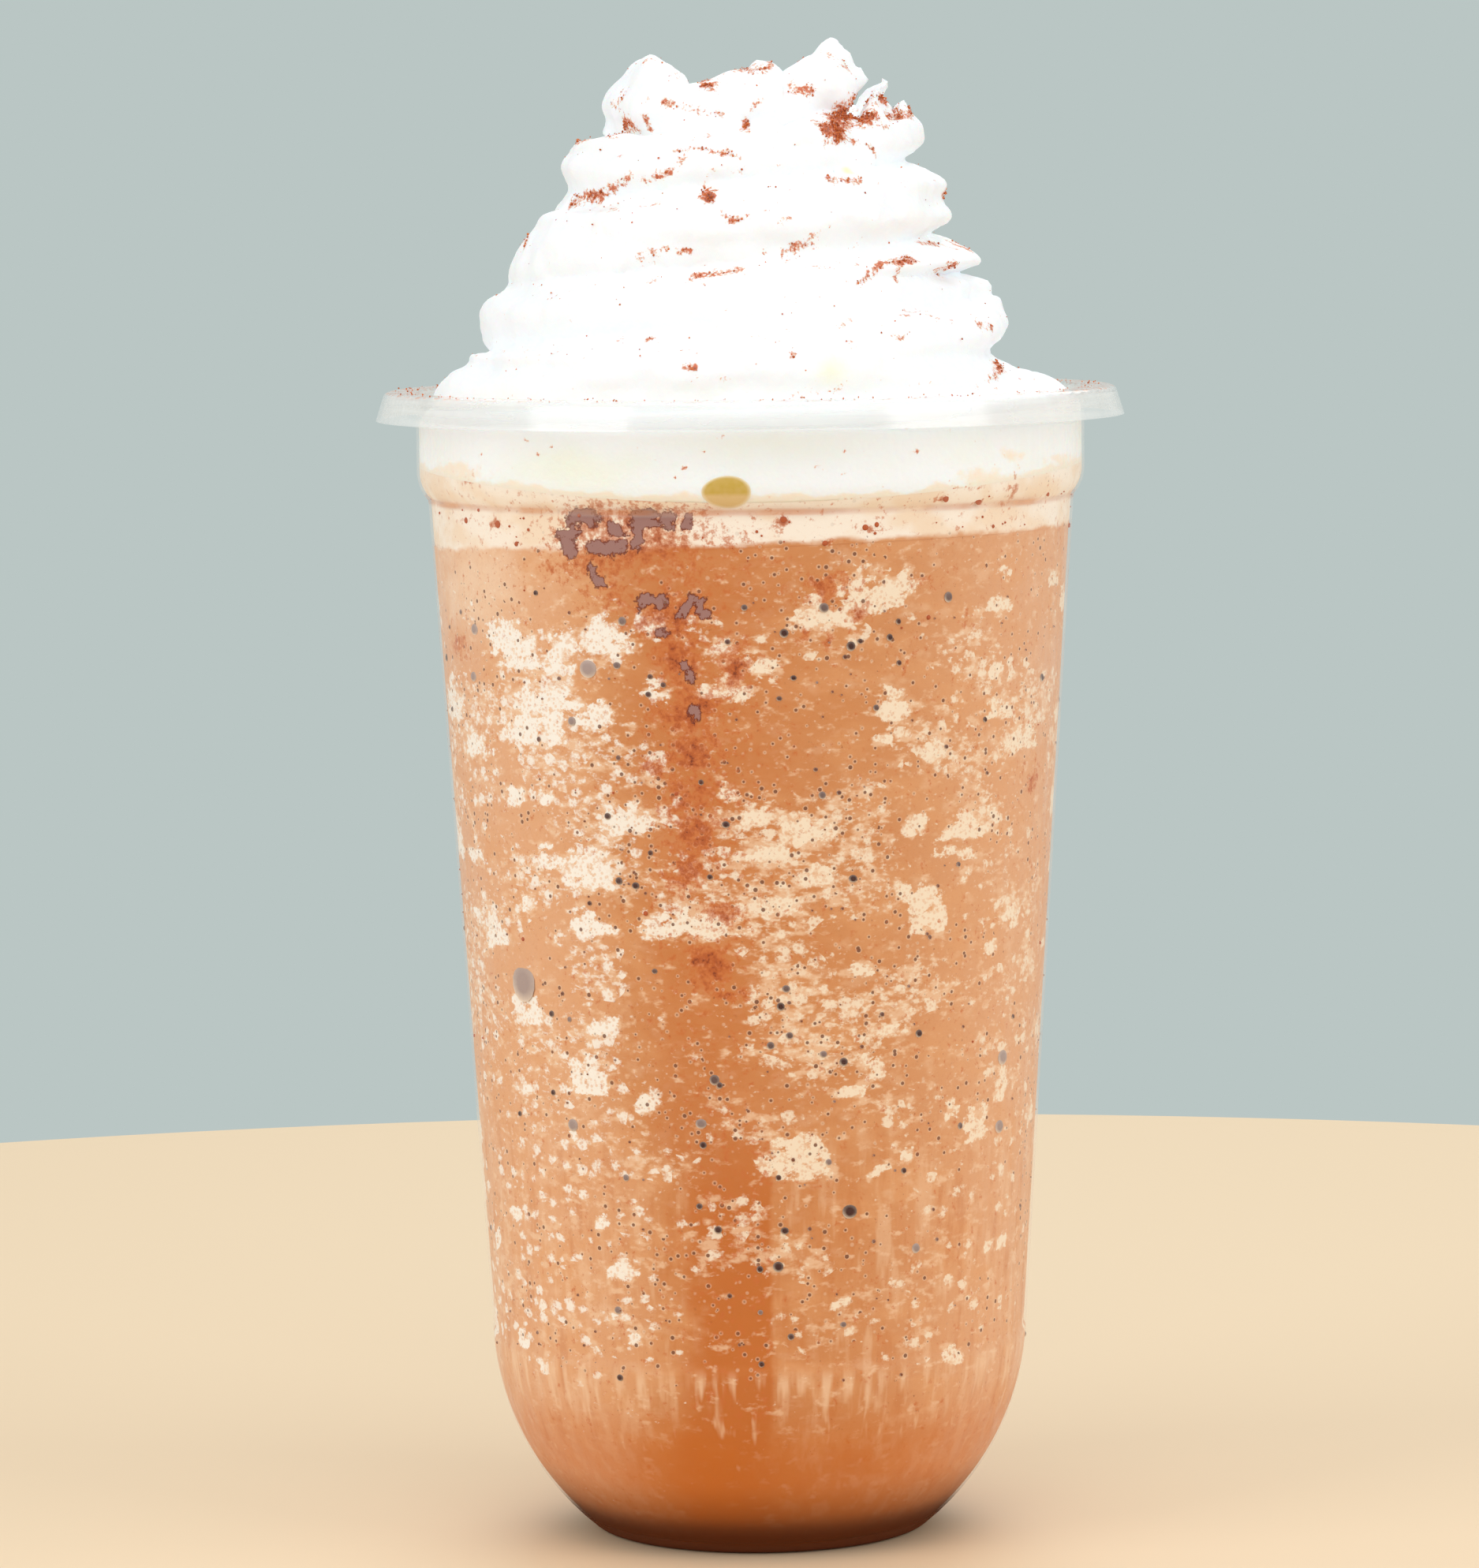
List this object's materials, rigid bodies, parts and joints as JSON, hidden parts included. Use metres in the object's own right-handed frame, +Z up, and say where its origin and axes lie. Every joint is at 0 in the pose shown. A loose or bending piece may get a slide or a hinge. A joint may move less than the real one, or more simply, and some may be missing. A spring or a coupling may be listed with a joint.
{
  "type": "mocha frappe in a clear plastic cup",
  "caption": "Blended coffee drink in a clear round-bottomed plastic cup with a skirted rim, topped with foam and a tall piped swirl of whipped cream dusted with cocoa.",
  "frame": {"origin": "on the surface that the cup stands on, at the cup's axis", "axes": "+Z up along the cup's axis, the side shown in the picture towards -Y, +X to its right"},
  "size_m": [0.095, 0.095, 0.1911],
  "materials": {
    "clear_plastic": "thin, slightly milky, smooth",
    "mocha": "wet blended ice, light brown with pale flecks and small bubbles",
    "milk_foam": "fine pale tan foam",
    "whipped_cream": "soft white, dusted with cocoa powder"
  },
  "bodies": {
    "root": {"cup": "clear_plastic", "mocha_drink": "mocha", "foam_layer": "milk_foam", "whipped_cream": "whipped_cream"}
  },
  "joints": []
}
